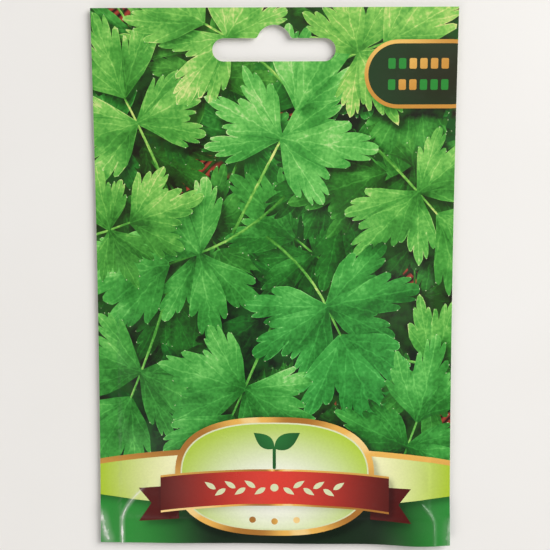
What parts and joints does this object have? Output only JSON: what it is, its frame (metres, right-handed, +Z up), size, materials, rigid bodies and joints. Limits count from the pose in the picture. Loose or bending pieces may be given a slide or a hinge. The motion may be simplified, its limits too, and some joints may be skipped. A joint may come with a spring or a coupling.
{
  "type": "seed packet",
  "caption": "Flat heat-sealed seed packet of two printed paper webs, with a hang slot punched through its sealed header and loose seeds inside.",
  "frame": {"origin": "on the table under the middle of the packet, which lies on its back", "axes": "+Z up, out of the printed front; +Y along the packet towards the header with the hang slot; +X to the right as the front is seen"},
  "size_m": [0.095, 0.143, 0.0041],
  "materials": {
    "front_print": "glossy coated paper, printed with green leaves and a cream label",
    "back_print": "glossy coated paper, printed pale green",
    "seed_husk": "dry ribbed husk, matt"
  },
  "bodies": {
    "root": {"front_panel": "front_print", "back_panel": "back_print", "seeds": "seed_husk"}
  },
  "joints": []
}
